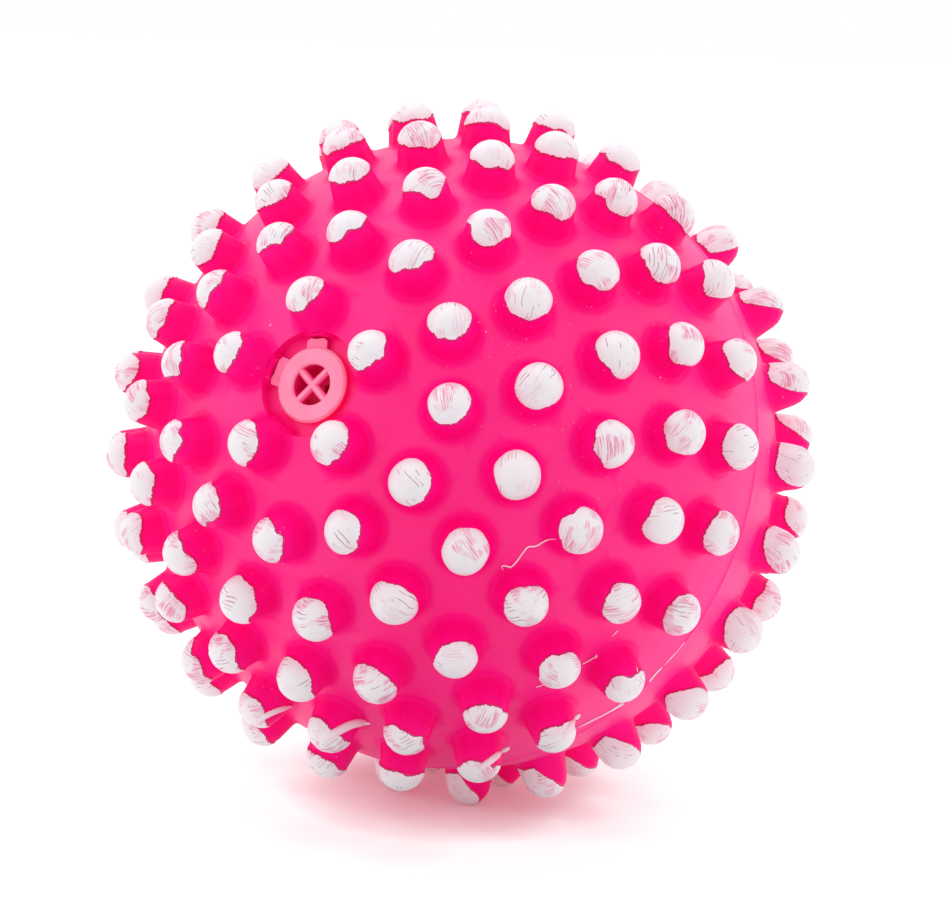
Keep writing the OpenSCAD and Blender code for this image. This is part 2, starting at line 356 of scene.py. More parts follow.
@dataclass
class Sheet:
    """Points and faces of one mesh, gathered block by block."""

    points: list[Array] = field(default_factory=list)
    faces: list[Array] = field(default_factory=list)
    size: int = 0

    def add(self, points: Array) -> Array:
        """Adds points of any array shape and returns their numbers in that shape."""
        flat = points.reshape(-1, 3)
        numbers = self.size + np.arange(len(flat)).reshape(points.shape[:-1])
        self.points.append(flat)
        self.size += len(flat)
        return numbers

    def quads(self, grid: Array) -> None:
        """Fills a closed grid of point numbers, shape (..., rings outwards, sectors round)."""
        after = np.roll(grid, -1, axis=-1)
        quad = np.stack([grid[..., :-1, :], grid[..., 1:, :], after[..., 1:, :], after[..., :-1, :]], -1)
        self.faces.append(quad.reshape(-1, 4))

    def fan(self, top: Array, ring: Array) -> None:
        """Joins single points to closed rings round them.

        Args:
            top: Point numbers, shape (...).
            ring: Point numbers, shape (..., sectors), anticlockwise from outside.
        """
        tops = np.broadcast_to(top[..., None], ring.shape)
        self.faces.append(np.stack([tops, ring, np.roll(ring, -1, axis=-1)], -1).reshape(-1, 3))

    def capped(self, rings: Array, first: Array, last: Array) -> None:
        """Adds closed bodies of rings.

        Args:
            rings: Points, shape (..., rings, sectors, 3).
            first: The point that closes each first ring, shape (..., 3).
            last: The point that closes each last ring, in the same shape.
        """
        grid = self.add(rings)
        self.quads(grid)
        self.fan(self.add(first), grid[..., 0, :])
        self.fan(self.add(last), grid[..., -1, ::-1])

    def zip_rings(self, north: Pair, south: Pair) -> None:
        """Fills the strip between two closed rings that have different numbers of points.

        Each edge of a ring takes as its third corner the point of the other ring whose share of the
        turn, from half an edge before it to half an edge after, holds the edge's middle.

        Args:
            north: Point numbers of the ring nearer +Z, and their turns in degrees.
            south: Those of the other ring.
        """
        a, at = self._sorted(*north)
        b, bt = self._sorted(*south)
        a_mid, b_mid = self._middles(at), self._middles(bt)
        b_of = b[self._share(b_mid, a_mid)]
        a_of = a[self._share(a_mid, b_mid)]
        self.faces.append(np.stack([a, b_of, np.roll(a, -1)], -1))
        self.faces.append(np.stack([b, np.roll(b, -1), a_of], -1))

    @staticmethod
    def _sorted(ring: Array, turn: Array) -> Pair:
        """A ring in order of its turns from 0 to 360."""
        turn = np.mod(turn, 360.0)
        order = np.argsort(turn)
        return ring[order], turn[order]

    @staticmethod
    def _middles(turn: Array) -> Array:
        """Turn of the middle of each edge of a sorted ring."""
        return np.mod(turn + np.mod(np.roll(turn, -1) - turn, 360.0) / 2, 360.0)

    @staticmethod
    def _share(mids: Array, at: Array) -> Array:
        """Number of the ring's point whose share of the turn holds each given turn."""
        order = np.argsort(mids)
        return order[np.searchsorted(mids[order], at) % len(mids)]

    def piece(self, name: str, turn: Array) -> Piece:
        """Turns the points and puts them, in metres, into a smooth mesh of the scene.

        Args:
            name: Name of the piece and of its mesh.
            turn: Matrix from the frame of the points to how the ball lies.

        Returns:
            The piece.
        """
        points = np.concatenate(self.points) @ turn.T * MM
        counts = np.concatenate([np.full(len(f), f.shape[1]) for f in self.faces])
        corners = np.concatenate([f.reshape(-1) for f in self.faces])
        mesh = bpy.data.meshes.new(name)
        mesh.vertices.add(len(points))
        mesh.vertices.foreach_set("co", points.astype(np.float32).reshape(-1))
        mesh.loops.add(len(corners))
        mesh.loops.foreach_set("vertex_index", corners.astype(np.int32))
        mesh.polygons.add(len(counts))
        mesh.polygons.foreach_set("loop_start", np.r_[0, np.cumsum(counts)[:-1]].astype(np.int32))
        mesh.polygons.foreach_set("use_smooth", np.ones(len(counts), bool))
        mesh.update(calc_edges=True)
        mesh.validate()
        made = bpy.data.objects.new(name, mesh)
        bpy.context.scene.collection.objects.link(made)
        return made


def lathe(profile: list[Spot], sectors: int) -> Sheet:
    """Closed solid of revolution about Z: (r cos t, r sin t, z) for each profile point and turn.

    Args:
        profile: Distance from the axis and height, from the top middle to the bottom middle.
        sectors: Number of turns.

    Returns:
        The solid's sheet.
    """
    t = once_round(sectors)
    r, z = np.array(profile[1:-1], float).T[..., None]
    rings = np.stack(np.broadcast_arrays(r * np.cos(t), r * np.sin(t), z), axis=-1)
    sheet = Sheet()
    sheet.capped(rings, np.array([0.0, *profile[0]]), np.array([0.0, *profile[-1]]))
    return sheet


def cone(top: float, top_radius: float, bottom: float, bottom_radius: float, sectors: int) -> Sheet:
    """Closed cone or cylinder about Z between two heights."""
    return lathe([(0.0, top), (top_radius, top), (bottom_radius, bottom), (0.0, bottom)], sectors)


def store(mesh: Mesh, name: str, values: Array, kind: str, key: str) -> None:
    """Stores one value a point."""
    made = mesh.attributes.new(name, kind, "POINT")
    made.data.foreach_set(key, values.astype(np.float32).reshape(-1))


def carve(piece: Piece, tool: Piece, operation: str = "DIFFERENCE") -> None:
    """Cuts a tool out of a piece, or joins it on, and removes the tool.

    Args:
        piece: The piece that changes.
        tool: The solid that goes.
        operation: The boolean's name.
    """
    change = piece.modifiers.new("carve", "BOOLEAN")
    change.object = tool
    change.operation = operation
    change.solver = "EXACT"
    change.use_hole_tolerant = True
    graph = bpy.context.evaluated_depsgraph_get()
    done = bpy.data.meshes.new_from_object(piece.evaluated_get(graph))
    old = piece.data
    name = old.name
    piece.modifiers.clear()
    piece.data = done
    bpy.data.meshes.remove(old)
    done.name = name
    bpy.data.objects.remove(tool)


def set_up(name: str, data: bpy.types.ID, axes: Array, place: Array) -> Piece:
    """Adds a camera or a lamp to the scene.

    Args:
        name: The object's name.
        data: The camera or lamp.
        axes: Its right, up and back directions as columns.
        place: Its place in metres.

    Returns:
        The object.
    """
    matrix = np.eye(4)
    matrix[:3, :3] = axes
    matrix[:3, 3] = place
    made = bpy.data.objects.new(name, data)
    made.matrix_world = Matrix(matrix.tolist())
    bpy.context.scene.collection.objects.link(made)
    return made


class NodeTree:
    """Shader nodes of a material or of the world."""

    def __init__(self, tree: bpy.types.NodeTree) -> None:
        """Starts to add to a tree."""
        self.tree = tree

    def node(self, kind: str, **inputs: object) -> bpy.types.Node:
        """Adds a node.

        Args:
            kind: The node's type without the ShaderNode prefix.
            inputs: Values or output sockets by input name, with spaces as underscores, or settings.

        Returns:
            The node.
        """
        made = self.tree.nodes.new("ShaderNode" + kind)
        for key, value in inputs.items():
            if hasattr(made, key):
                setattr(made, key, value)
            else:
                self.feed(made, key, value)
        return made

    def feed(self, node: bpy.types.Node, key: str, value: object) -> None:
        """Sets or links one input of a node, named as in node(), or in_N for the input with number N."""
        if key.startswith("in_"):
            socket = node.inputs[int(key[3:])]
        else:
            socket = node.inputs[key.replace("_", " ")]
        if isinstance(value, Socket):
            self.tree.links.new(value, socket)
        else:
            socket.default_value = value

    def math(self, operation: str, a: object, b: object = 0.0, c: object = 0.0) -> Socket:
        """Result of a calculation with up to three numbers or sockets."""
        return self.node("Math", operation=operation, in_0=a, in_1=b, in_2=c).outputs[0]

    def times(self, product: object, *factors: object) -> Socket:
        """Product of numbers or sockets."""
        for factor in factors:
            product = self.math("MULTIPLY", product, factor)
        return product

    def rest(self, share: object) -> Socket:
        """What a share leaves of one."""
        return self.math("SUBTRACT", 1.0, share)

    def step(self, value: object, low: float, high: float) -> Socket:
        """Smooth step of a socket from 0 at low to 1 at high."""
        limits = {"From_Min": low, "From_Max": high}
        return self.node("MapRange", interpolation_type="SMOOTHSTEP", Value=value, **limits).outputs["Result"]

    def span(self, share: object, low: float, high: float) -> Socket:
        """Number from low where the share is 0 to high where it is 1."""
        return self.node("MapRange", Value=share, To_Min=low, To_Max=high).outputs["Result"]

    def blend(self, share: object, a: object, b: object) -> Socket:
        """Colour a where the share is 0 and b where it is 1."""
        return self.node("Mix", data_type="RGBA", in_0=share, in_6=a, in_7=b).outputs[2]

    def noise(self, place: object, scale: float, detail: float = 2.0, rough: float = 0.5) -> Socket:
        """Noise from 0 to 1 at a place."""
        return self.node("TexNoise", Vector=place, Scale=scale, Detail=detail, Roughness=rough).outputs[0]

    def place(self) -> Socket:
        """Object coordinates."""
        return self.node("TexCoord").outputs["Object"]

    def stored(self, name: str, output: str = "Fac") -> Socket:
        """A value that the mesh keeps for each point."""
        return self.node("Attribute", attribute_name=name).outputs[output]

    def bump(self, height: object, strength: float, distance: float) -> Socket:
        """Normal bent by a height."""
        return self.node("Bump", Height=height, Strength=strength, Distance=distance).outputs[0]


class Coating(NodeTree):
    """Shader nodes of one material, with a principled shader at the end."""

    def __init__(self, name: str) -> None:
        """Starts a material."""
        self.material = bpy.data.materials.new(name)
        self.material.use_nodes = True
        super().__init__(self.material.node_tree)
        self.shader = self.tree.nodes["Principled BSDF"]

    def dress(self, **inputs: object) -> Material:
        """Sets or links inputs of the principled shader and returns the material."""
        for key, value in inputs.items():
            self.feed(self.shader, key, value)
        return self.material


@dataclass(frozen=True)
class Patches:
    """Soft patches where a noise is high: its scale, its limits and its detail."""

    scale: float
    low: float
    high: float
    detail: float = 2.0

    def of(self, tree: NodeTree, place: Socket) -> Socket:
        """0 where the noise is under its low limit and 1 where it is over the high one."""
        return tree.step(tree.noise(place, self.scale, self.detail), self.low, self.high)


@dataclass(frozen=True)
class Dots:
    """Scattered round dots: their scale, and the distances where a dot starts to fade and ends."""

    scale: float
    full: float
    end: float

    def of(self, tree: NodeTree, place: Socket) -> Socket:
        """1 within a dot and 0 between the dots."""
        cells = tree.node("TexVoronoi", Vector=place, Scale=self.scale, Randomness=1.0)
        return tree.rest(tree.step(cells.outputs["Distance"], self.full, self.end))


@dataclass(frozen=True)
class Grain:
    """Fine bumps of a surface: their scale and detail, the strength, and the height in metres."""

    scale: float
    detail: float
    strength: float
    height: float
    rough: float = 0.5

    def of(self, tree: NodeTree, place: Socket) -> Socket:
        """The bent normal."""
        bumps = tree.noise(place, self.scale, self.detail, self.rough)
        return tree.bump(bumps, self.strength, self.height)


@dataclass(frozen=True)
class VinylFinish:
    """Soft hot-pink vinyl, satin, with a fine grain and paint dust; its shine is turned down on the nubs'
    sides as painted shade.
    """

    colour: Colour = (1.0, 0.0004, 0.213, 1.0)
    pale: Colour = (1.0, 0.002, 0.238, 1.0)
    dust: Colour = (1.0, 0.42, 0.62, 1.0)
    sheen: Colour = (1.0, 0.58, 1.0, 1.0)
    specular: float = 0.75
    # Shine on the nubs' sides, kept low as painted shade
    side_shade_specular: float = 0.12
    side_from: float = 3.9
    side_to: float = 4.9
    cloud: Patches = Patches(55.0, 0.3, 0.75, 3.0)
    dusty: Patches = Patches(30.0, 0.45, 0.6, 1.0)
    speck: Dots = Dots(420.0, 0.045, 0.085)
    speck_patch: Patches = Patches(260.0, 0.55, 0.62)
    mist: Dots = Dots(1000.0, 0.05, 0.14)
    mist_patch: Patches = Patches(700.0, 0.45, 0.6, 1.0)
    mist_share: float = 0.4
    rough_scale: float = 140.0
    rough_detail: float = 3.0
    roughness: Limits = (0.42, 0.54)
    grain: Grain = Grain(2600.0, 3.0, 0.12, 0.00004, 0.6)

    def base(self, tree: NodeTree, place: Socket) -> Socket:
        """Colour of the bare vinyl at a place."""
        return tree.blend(self.cloud.of(tree, place), self.colour, self.pale)

    def material(self) -> Material:
        """The finish of the ball's skin, read from its attribute of the distance beside a nub's axis."""
        tree = Coating("hot_pink_vinyl")
        place = tree.place()
        dusty = self.dusty.of(tree, place)
        specks = tree.times(self.speck.of(tree, place), self.speck_patch.of(tree, place), dusty)
        mist = tree.times(self.mist.of(tree, place), self.mist_patch.of(tree, place), dusty, self.mist_share)
        rough = tree.noise(place, self.rough_scale, self.rough_detail)
        # Painted shade: near a nub's axis the shine drops, standing in for the nubs' sides reflecting the
        # pink ball.
        unshaded = tree.step(tree.stored("beside"), self.side_from, self.side_to)
        return tree.dress(
            Base_Color=tree.blend(tree.math("MAXIMUM", specks, mist), self.base(tree, place), self.dust),
            Roughness=tree.span(rough, *self.roughness),
            Specular_IOR_Level=tree.span(unshaded, self.side_shade_specular, self.specular),
            Specular_Tint=self.sheen,
            Normal=self.grain.of(tree, place),
        )


@dataclass(frozen=True)
class PaintFinish:
    """White paint dabbed on with a brush: ragged at its edge, scratched along the strokes, with a painted
    highlight on its rim and a painted shadow just outside it.
    """

    vinyl: VinylFinish
    white: Colour = (0.83, 0.78, 0.82, 1.0)
    # Paler, pinker rim at the coat's edge: a painted highlight
    border: Colour = (0.93, 0.80, 0.88, 1.0)
    blush: Colour = (0.80, 0.14, 0.34, 1.0)
    scratch: Colour = (0.36, 0.06, 0.15, 1.0)
    shadow: Colour = (0.22, 0.01, 0.06, 1.0)
    drawn: Limits = (0.5, 2.8)
    fine: Limits = (0.35, 9.0)
    tooth: float = 0.7
    tooth_detail: float = 3.0
    tooth_rough: float = 0.6
    cover: Limits = (-0.03, 0.05)
    rim: Limits = (0.12, 0.5)
    dark_line: Limits = (-0.22, -0.1)
    dark_share: float = 0.8
    pit: Dots = Dots(2.2, 0.05, 0.09)
    pitted: Patches = Patches(0.8, 0.52, 0.6)
    mark_share: float = 0.8
    hair: Patches = Patches(1.0, 0.46, 0.56)
    worn: Patches = Patches(0.35, 0.49, 0.6)
    hair_share: float = 0.7
    plain_hair: float = 0.15
    plain_share: float = 0.28
    brushed_share: float = 0.55
    line_gap: float = 0.5
    line_width: float = 0.1
    line_fade: Limits = (0.5, 1.4)
    sway: float = 2.2
    sway_scale: float = 0.4
    bristle_gap: float = 3.7
    break_scale: float = 0.25
    unbroken: Patches = Patches(1.0, 0.5, 0.55, 1.0)
    dry: Patches = Patches(0.33, 0.5, 0.56, 1.0)
    ridge_scale: float = 1.6
    ridge_strength: float = 0.35
    ridge_height: float = 0.00012

    def material(self) -> Material:
        """The finish of the coats, read from their stroke and edge attributes."""
        tree = Coating("brushed_white_paint")
        stroke = tree.stored("stroke", "Vector")
        drawn = self._stretched(tree, stroke, self.drawn)
        seed = tree.node("SeparateXYZ", Vector=stroke).outputs["Z"]
        chance = tree.node("TexWhiteNoise", noise_dimensions="1D", W=seed).outputs["Value"]

        teeth = tree.math("SUBTRACT", tree.noise(drawn, 1.0, self.tooth_detail, self.tooth_rough), 0.5)
        inside = tree.math("ADD", tree.stored("edge"), tree.times(teeth, self.tooth))
        cover = tree.step(inside, *self.cover)

        pits = tree.times(self.pit.of(tree, stroke), self.pitted.of(tree, stroke))
        marks = tree.math("MAXIMUM", self._bristle_lines(tree, stroke, chance), pits)
        marks = tree.times(marks, self.mark_share)

        hair = self.hair.of(tree, self._stretched(tree, stroke, self.fine))
        streaky = tree.math("GREATER_THAN", chance, self.plain_share)
        streaky = tree.math("MULTIPLY_ADD", streaky, self.hair_share, self.plain_hair)
        hairs = tree.times(hair, self.worn.of(tree, stroke), streaky)
        # Painted highlight: the white turns paler and pinker along the coat's rim.
        plain = tree.blend(tree.rest(tree.step(inside, *self.rim)), self.white, self.border)
        paint = tree.blend(marks, tree.blend(hairs, plain, self.blush), self.scratch)
        # Painted shadow: a dark line on the bare vinyl just outside the coat's edge.
        line = tree.times(tree.step(inside, *self.dark_line), self.dark_share)
        bare = tree.blend(line, self.vinyl.base(tree, tree.place()), self.shadow)
        ridge = tree.math("SUBTRACT", tree.noise(drawn, self.ridge_scale), marks)
        return tree.dress(
            Base_Color=tree.blend(cover, bare, paint),
            Roughness=0.42,
            Specular_IOR_Level=0.45,
            Normal=tree.bump(tree.times(ridge, cover), self.ridge_strength, self.ridge_height),
        )

    @staticmethod
    def _stretched(tree: Coating, stroke: Socket, scales: Limits) -> Socket:
        """The stroke's coordinates scaled along and across it."""
        return tree.node("VectorMath", operation="MULTIPLY", in_0=stroke, in_1=(*scales, 1.0)).outputs[0]

    def _bristle_lines(self, tree: Coating, stroke: Socket, chance: Socket) -> Socket:
        """Thin lines that the bristles left, in bands across the stroke and broken along it.

        Args:
            tree: The material's nodes.
            stroke: Place along the stroke, across it, and the coat's seed.
            chance: A number from 0 to 1 that is the same all over one coat.

        Returns:
            1 on a line and 0 off it.
        """
        part = tree.node("SeparateXYZ", Vector=stroke)
        sway = tree.math("SUBTRACT", tree.noise(stroke, self.sway_scale, 1.0), 0.5)
        across = tree.math("DIVIDE", part.outputs["Y"], self.line_gap)
        band = tree.math("ADD", across, tree.times(sway, self.sway))
        off = tree.math("ABSOLUTE", tree.math("SUBTRACT", tree.math("FRACT", band), 0.5))
        full, end = self.line_fade
        line = tree.rest(tree.step(off, full * self.line_width, end * self.line_width))
        bristle = tree.times(tree.math("FLOOR", band), self.bristle_gap)
        run = tree.times(part.outputs["X"], self.break_scale)
        where = tree.node("CombineXYZ", X=run, Y=bristle, Z=part.outputs["Z"]).outputs[0]
        brushed = tree.math("LESS_THAN", chance, self.brushed_share)
        return tree.times(line, self.unbroken.of(tree, where), brushed, self.dry.of(tree, stroke))


@dataclass(frozen=True)
class MouldedFinish:
    """Moulded plastic with a soft cloud of shade and a fine grain."""

    name: str
    colour: Colour
    shade: Colour
    roughness: float = 0.4
    cloud: Patches = Patches(380.0, 0.35, 0.7, 3.0)
    grain: Grain = Grain(3000.0, 2.0, 0.1, 0.00005)

    def surface(self, tree: Coating) -> Socket:
        """Colour of the plastic."""
        return tree.blend(self.cloud.of(tree, tree.place()), self.colour, self.shade)

    def material(self) -> Material:
        """The finish."""
        tree = Coating(self.name)
        return tree.dress(
            Base_Color=self.surface(tree),
            Roughness=self.roughness,
            Normal=self.grain.of(tree, tree.place()),
        )


@dataclass
class BallSkin:
    """The vinyl ball's outer skin: a cell for each nub, the seam, the recess and the hole for the plug."""

    sizes: BallSizes
    finish: VinylFinish
    side_steps: int = 8
    strip: float = 0.55
    corner_turn: float = -45.0
    seam_sectors: int = 150
    seam_steps: tuple[float, ...] = (0.14, 0.36, 0.62, 1.2, 2.6, 4.5, 6.5)
    seam_sharpness: float = 2.6
    recess_sectors: int = 96
    near_sectors: int = 40
    near_under: float = 2.4
    near_over: float = 3.0
    near_gap: float = 0.02
    sharp_angle: float = 38.0

    def build(self) -> Piece:
        """Makes the skin and carves the squeaker's recess into it."""
        sheet = Sheet()
        rings = [self._row(sheet, row) for row in self.sizes.rows()]
        for before, after in zip(rings, rings[1:]):
            if before is rings[len(self.sizes.upper_counts) - 1]:
                self._seam(sheet, before[1], after[0])
            else:
                sheet.zip_rings(before[1], after[0])
        top = sheet.add(np.array([0.0, 0.0, self.sizes.radius]))
        first, first_turn = rings[0][0]
        sheet.fan(top, first[np.argsort(np.mod(first_turn, 360.0))])
        self._pole(sheet, rings[-1][1])
        piece = sheet.piece("ball_skin", self.sizes.attitude())
        self._recess(piece)
        store(piece.data, "beside", self._beside(piece.data), "FLOAT", "value")
        piece.data.materials.append(self.finish.material())
        return piece

    def _beside(self, mesh: Mesh) -> Array:
        """Distance of each point from the nearest nub's axis, less on a nub's side than on the open ball."""
        points = np.empty(3 * len(mesh.vertices), np.float32)
        mesh.vertices.foreach_get("co", points)
        return nearest_nub(points.reshape(-1, 3) / MM, NubField.lying(self.sizes))[1]

    def _row(self, sheet: Sheet, row: NubRow) -> tuple[Pair, Pair]:
        """Adds the cells of one row: rings round each nub that pass from circles to the cell's four sides.

        Args:
            sheet: Where the cells go.
            row: The row.

        Returns:
            Point numbers and turns of the row's north border and of its south border.
        """
        steps = self.side_steps
        half = (self.sizes.row_step - self.strip) / 2
        north, south = row.angle - half, row.angle + half
        turns = row.turns()
        width = 360.0 / row.count
        border = turns[0] - width / 2 + np.arange(row.count * steps) * width / steps
        radius = self.sizes.radius
        north_ring = sheet.add(radius * on_sphere(north, border))
        south_ring = sheet.add(radius * on_sphere(south, border))
        inner = np.linspace(south, north, steps + 1)[1:-1]
        east = sheet.add(radius * on_sphere(inner[None, :], (turns + width / 2)[:, None]))
        west = np.roll(east, 1, axis=0)

        cell = np.arange(row.count)[:, None] * steps
        k = np.arange(steps + 1)[None, :]
        along_south = south_ring[(cell + k) % len(south_ring)]
        along_north = north_ring[(cell + k) % len(north_ring)]
        rim = np.concatenate([along_south, east, along_north[:, ::-1], west[:, ::-1]], axis=1)

        nubs = NubField.at(row.angle, turns, row.upper())
        across, high = NubProfile(self.sizes).skin_rings()
        sectors = 4 * steps
        round_nub = np.radians(self.corner_turn + np.arange(sectors) * 360.0 / sectors)
        grid = sheet.add(nubs.points((radius + high)[:, None], across[:, None], round_nub))
        sheet.quads(np.concatenate([grid, rim[:, None, :]], axis=1))
        sheet.fan(sheet.add((radius + self.sizes.nub_height) * nubs.out), grid[:, 0])
        return (north_ring, border), (south_ring, border)

    def _seam(self, sheet: Sheet, north: Pair, south: Pair) -> None:
        """Adds the bare band with the parting line, a low bump h exp(-(d / w)^2) round the equator.

        Args:
            sheet: Where the band goes.
            north: Point numbers and turns of the ring before it.
            south: Those of the ring after it.
        """
        half = np.array(self.seam_steps)
        away = np.r_[-half[::-1], 0.0, half]
        turn = np.arange(self.seam_sectors) * 360.0 / self.seam_sectors
        spread = np.degrees(self.sizes.seam_width / self.seam_sharpness / self.sizes.radius)
        radius = self.sizes.radius + self.sizes.seam_height * np.exp(-((away / spread) ** 2))
        grid = sheet.add(radius[:, None, None] * on_sphere(90.0 + away[:, None], turn[None, :]))
        sheet.quads(grid)
        sheet.zip_rings(north, (grid[0], turn))
        sheet.zip_rings((grid[-1], turn), south)

    def _pole(self, sheet: Sheet, north: Pair) -> None:
        """Adds the nub on the pole away from the squeaker.

        Args:
            sheet: Where the nub goes.
            north: Point numbers and turns of the last row's ring.
        """
        radius = self.sizes.radius
        across, high = NubProfile(self.sizes).skin_rings()
        edge = np.radians((self.sizes.row_step - self.strip) / 2)
        across = np.r_[across, radius * np.sin(edge)]
        high = np.r_[high, radius * (np.cos(edge) - 1.0)]
        a = once_round(4 * self.side_steps)
        nub = NubField.at(180.0, np.zeros(1), np.zeros(1, bool))
        grid = sheet.add(nub.points((radius + high)[:, None], across[:, None], a)[0])
        sheet.quads(grid)
        sheet.fan(sheet.add(np.array([0.0, 0.0, -radius - self.sizes.nub_height])), grid[0])
        sheet.zip_rings(north, (grid[-1], 180.0 - np.degrees(a)))

    def _recess(self, piece: Piece) -> None:
        """Carves the recess, which leaves the near nubs' sides standing, the groove and the plug's hole."""
        z = self.sizes
        turn = z.attitude()
        pocket = cone(z.recess_top, z.recess_radius, z.recess_floor, z.recess_radius, self.recess_sectors)
        pocket = pocket.piece("pocket", turn)
        near = z.rows()[0]
        foot_across, foot_high = (values[0] for values in NubProfile(z).foot(2))
        slope = np.tan(np.radians(z.taper))
        wide = foot_across + (foot_high + self.near_under) * slope + self.near_gap
        narrow = foot_across - (self.near_over - foot_high) * slope + self.near_gap
        top, bottom = z.radius + self.near_over, z.radius - self.near_under
        for place in near.turns():
            side = cone(top, narrow, bottom, wide, self.near_sectors)
            carve(pocket, side.piece("near_side", turn @ turn_z(place) @ turn_y(near.angle)))
        high = z.recess_floor + z.nub_height
        groove = lathe(
            [
                (0.0, high),
                (z.groove_radius, high),
                (z.groove_radius, z.recess_floor),
                (z.hole_radius, z.recess_floor),
                (z.hole_radius, z.hole_floor),
                (0.0, z.hole_floor),
            ],
            self.recess_sectors,
        )
        carve(pocket, groove.piece("groove", turn), "UNION")
        carve(piece, pocket)
        piece.data.set_sharp_from_angle(angle=np.radians(self.sharp_angle))


@dataclass(frozen=True)
class BrushSpot:
    """A round patch of the ball that the brush treated in its own way."""

    angle: float
    turn: float
    reach: float
    fade: float

    def share(self, out: Array) -> Array:
        """1 within the patch and 0 away from it, for each direction."""
        off = np.degrees(np.arccos(np.clip(out @ on_sphere(self.angle, self.turn), -1.0, 1.0)))
        return np.clip((self.reach - off) / self.fade, 0.0, 1.0)


@dataclass
class PaintCoats:
    """The white coat on each nub's tip, a thin cap that runs lower on the side away from the brush."""

    sizes: BallSizes
    finish: PaintFinish
    thickness: float = 0.15
    level_edge: float = 3.42
    brush_angle: float = 51.4
    brush_turn: float = 227.7
    upper_reach: float = 41.0
    upper_lean: float = 24.0
    upper_edge: float = 3.85
    lower_reach: float = 45.0
    lower_angle: float = 55.4
    lower_turn: float = 61.0
    lower_slope: float = 1.8
    lower_edge: float = 3.0
    dry: BrushSpot = BrushSpot(71.2, -148.3, 30.0, 10.0)
    dry_edge: float = 0.6
    side: BrushSpot = BrushSpot(62.2, 167.6, 30.0, 6.0)
    side_edge: float = -0.5
    lowest: float = 0.7
    fringe: float = 0.35
    rounding: float = 0.7
    least_lift: float = 0.01
    sunk: float = 0.12
    ring_shares: tuple[float, ...] = (0.16, 0.34, 0.52, 0.69, 0.84, 0.94, 1.0)
    under_shares: tuple[float, ...] = (1.0, 0.5)
    sectors: int = 36
    seed: int = 11
    turn_spread: float = 0.22
    edge_spread: float = 0.16
    stroke_spread: float = 0.5
    wave_spread: float = 0.8
    wave_fall: float = 1.4
    waves: tuple[int, int] = (2, 10)
    least_edge: float = 0.8
    farthest: float = 7.0
    edge_samples: int = 281
    seed_gap: float = 7.3
    well_inside: float = 2.0

    def build(self) -> Piece:
        """Makes all coats as one piece.

        A point lies at a distance s along the nub's outline and a turn a round its axis, lifted off the
        vinyl by the coat's thickness, which thins out to nothing at the edge.

        Returns:
            The piece, with the place in the stroke and the distance inside the edge at each point.
        """
        nubs = NubField.of(self.sizes)
        profile = NubProfile(self.sizes)
        random = np.random.default_rng(self.seed)
        count = len(nubs.out)
        turn = once_round(self.sectors)
        away, edge = self._edges(nubs, profile, turn, random)

        rim = (edge + self.fringe)[:, None, :]
        over = np.array(self.ring_shares)[:, None] * rim
        under = np.array(self.under_shares)[:, None] * rim
        lift = self.thickness * np.sqrt(np.clip((rim - over) / self.rounding, 0.0, 1.0)) + self.least_lift
        s = np.concatenate([over, under], axis=1)
        lift = np.concatenate([lift, np.full_like(under, -self.sunk)], axis=1)
        across, high, slope = profile.along(s)
        across = across + lift * np.sin(slope)
        high = high + lift * np.cos(slope)

        sheet = Sheet()
        top = self.sizes.radius + self.sizes.nub_height
        rings = nubs.points(self.sizes.radius + high, across, turn)
        sheet.capped(rings, (top + self.thickness) * nubs.out, (top - self.sunk) * nubs.out)
        piece = sheet.piece("paint_coats", self.sizes.attitude())

        stroke_turn = turn - (away + random.normal(0.0, self.stroke_spread, count))[:, None, None]
        seeds = np.arange(count) * self.seed_gap
        along, beside = s * np.cos(stroke_turn), s * np.sin(stroke_turn)
        stroke = np.stack(np.broadcast_arrays(along, beside, seeds[:, None, None]), axis=-1)
        ends = np.stack([np.zeros(count), np.zeros(count), seeds], axis=-1)
        stroke = np.concatenate([stroke.reshape(-1, 3), ends, ends])
        inside = np.r_[(edge[:, None, :] - s).reshape(-1), np.full(2 * count, self.well_inside)]
        store(piece.data, "stroke", stroke, "FLOAT_VECTOR", "vector")
        store(piece.data, "edge", inside, "FLOAT", "value")
        piece.data.materials.append(self.finish.material())
        return piece

    def _edges(self, nubs: NubField, profile: NubProfile, turn: Array, random: np.random.Generator) -> Pair:
        """Distance from the top to each coat's edge: where the outline meets a leaning plane, uneven.

        Args:
            nubs: The nubs.
            profile: Their outline.
            turn: Turns round a nub's axis, in radians.
            random: Source of the unevenness.

        Returns:
            Turn of the side that each coat leans to, and the edge's distance for each nub and turn.
        """
        upper_pull = -on_sphere(self.brush_angle, self.brush_turn)
        lower_pull = on_sphere(self.lower_angle, self.lower_turn)
        pull = np.where(nubs.upper[:, None], upper_pull, lower_pull)
        east = (pull * nubs.east).sum(-1)
        south = (pull * nubs.south).sum(-1)
        angle = np.degrees(np.arccos(nubs.out[:, 2]))
        count = len(angle)
        away = np.arctan2(east, south) + random.normal(0.0, self.turn_spread, count)
        near = (self.upper_reach - angle) / self.sizes.row_step
        share = np.clip(np.where(nubs.upper, near, (180.0 - angle) / self.lower_reach), 0.0, 1.0)
        side = nubs.upper * self.side.share(nubs.out)
        upper_slope = np.tan(np.radians(np.maximum(share, side) * self.upper_lean))
        slope = np.where(nubs.upper, upper_slope, share * self.lower_slope * np.hypot(east, south))
        leaning_edge = np.where(nubs.upper, self.upper_edge, self.lower_edge)
        middle = self.level_edge + share * (leaning_edge - self.level_edge)
        middle = middle + self.dry_edge * nubs.upper * self.dry.share(nubs.out) + self.side_edge * side
        middle = middle + random.normal(0.0, self.edge_spread, count)

